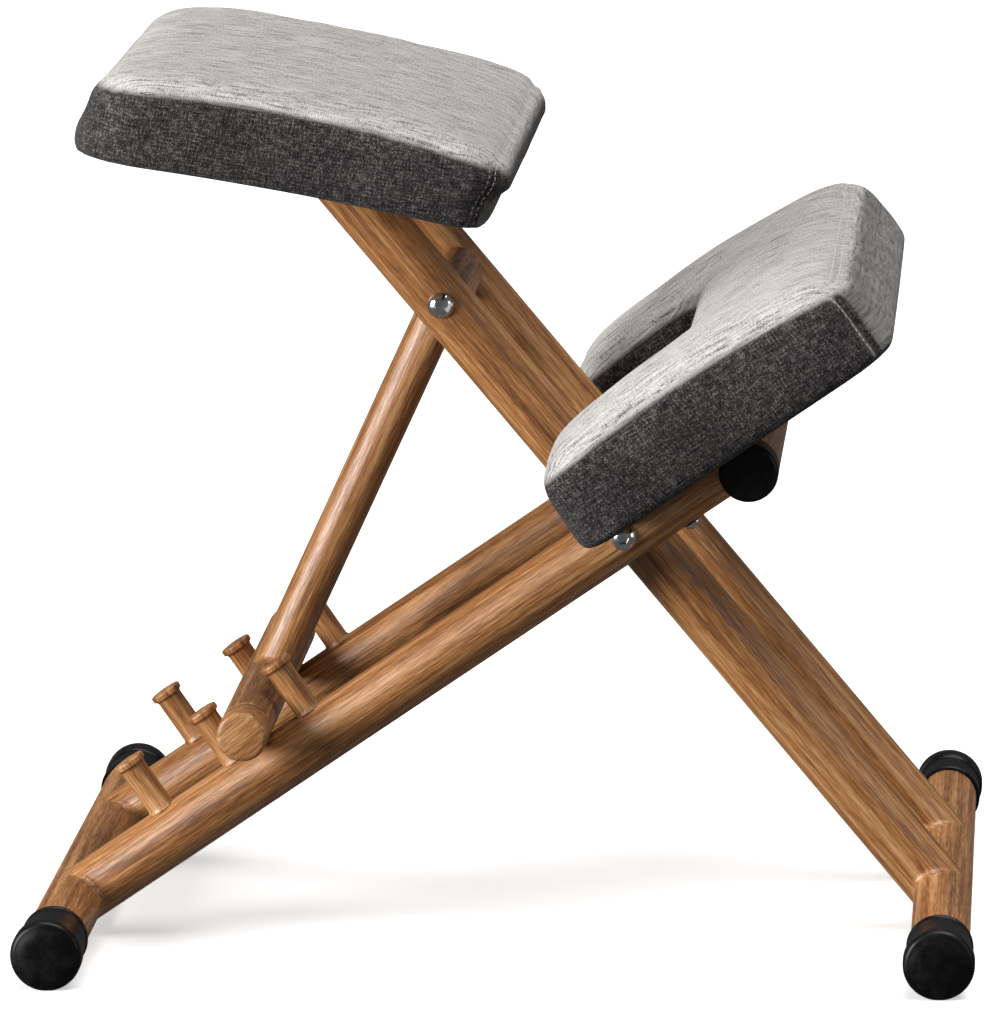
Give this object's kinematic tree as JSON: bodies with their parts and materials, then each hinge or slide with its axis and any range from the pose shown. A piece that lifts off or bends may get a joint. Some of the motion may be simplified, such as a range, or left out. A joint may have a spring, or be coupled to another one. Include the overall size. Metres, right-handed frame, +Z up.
{
  "type": "kneeling chair",
  "caption": "Kneeling chair on a scissor frame of round wood-look tube, with a forward-leaning padded seat, a notched knee pad and a peg-held strut.",
  "frame": {"origin": "on the floor, midway between the two foot bars and between their ends", "axes": "+X to the side the sitter faces, +Y to the sitter's left, +Z up"},
  "size_m": [0.6128, 0.53, 0.5726],
  "materials": {
    "wood_film": "satin wood-grain film over steel tube",
    "black_plastic": "smooth moulded, soft sheen",
    "chromed_steel": "polished",
    "zinc_steel": "zinc plated",
    "plywood": "raw, sanded",
    "grey_cloth": "heather linen weave",
    "white_nylon": "moulded"
  },
  "bodies": {
    "knee_frame": {"rear_foot_bar": "wood_film", "knee_cross_bar": "wood_film", "knee_board": "plywood", "knee_cushion": "grey_cloth", "rear_foot_cap_left": "black_plastic", "rear_foot_cap_right": "black_plastic", "knee_rail_left": "wood_film", "knee_rail_right": "wood_film", "knee_bar_cap_left": "black_plastic", "knee_bar_cap_right": "black_plastic", "peg_low_left": "wood_film", "peg_low_right": "wood_film", "peg_middle_left": "wood_film", "peg_middle_right": "wood_film", "peg_high_left": "wood_film", "peg_high_right": "wood_film", "knee_rail_bolt_left": "chromed_steel", "knee_rail_bolt_right": "chromed_steel", "knee_bar_bolt_left": "chromed_steel", "knee_bar_bolt_right": "chromed_steel", "pivot_bolt_left": "chromed_steel", "pivot_bolt_right": "chromed_steel", "pivot_washer_left": "white_nylon", "pivot_washer_right": "white_nylon", "pivot_nut_left": "chromed_steel", "pivot_nut_right": "chromed_steel"},
    "seat_frame": {"front_foot_bar": "wood_film", "seat_plate": "zinc_steel", "seat_board": "plywood", "seat_cushion": "grey_cloth", "strut_bolt": "chromed_steel", "strut_nut": "chromed_steel", "front_foot_cap_left": "black_plastic", "front_foot_cap_right": "black_plastic", "seat_rail_left": "wood_film", "seat_rail_right": "wood_film", "pivot_bush_left": "zinc_steel", "pivot_bush_right": "zinc_steel", "seat_screw_front_left": "chromed_steel", "seat_screw_front_right": "chromed_steel", "seat_screw_rear_left": "chromed_steel", "seat_screw_rear_right": "chromed_steel"},
    "strut": {"strut_tube": "wood_film", "strut_sleeve": "wood_film", "t_bar": "wood_film", "sleeve_bush_left": "white_nylon", "sleeve_bush_right": "white_nylon", "t_bar_plug_left": "wood_film", "t_bar_plug_right": "wood_film", "t_bar_ring_left": "black_plastic", "t_bar_ring_right": "black_plastic"}
  },
  "joints": [
    {"name": "frame_pivot", "type": "hinge", "parent": "knee_frame", "child": "seat_frame", "pos_m": [0.078, 0, 0.26992], "axis": [0, 1, 0], "range_deg": [0, 20]},
    {"name": "strut_swing", "type": "hinge", "parent": "seat_frame", "child": "strut", "pos_m": [-0.04163, 0, 0.41402], "axis": [0, 1, 0], "range_deg": [-2, 1]}
  ],
  "couplings": [
    {"joint": "strut_swing", "follows": "frame_pivot", "ratio": -0.06}
  ]
}
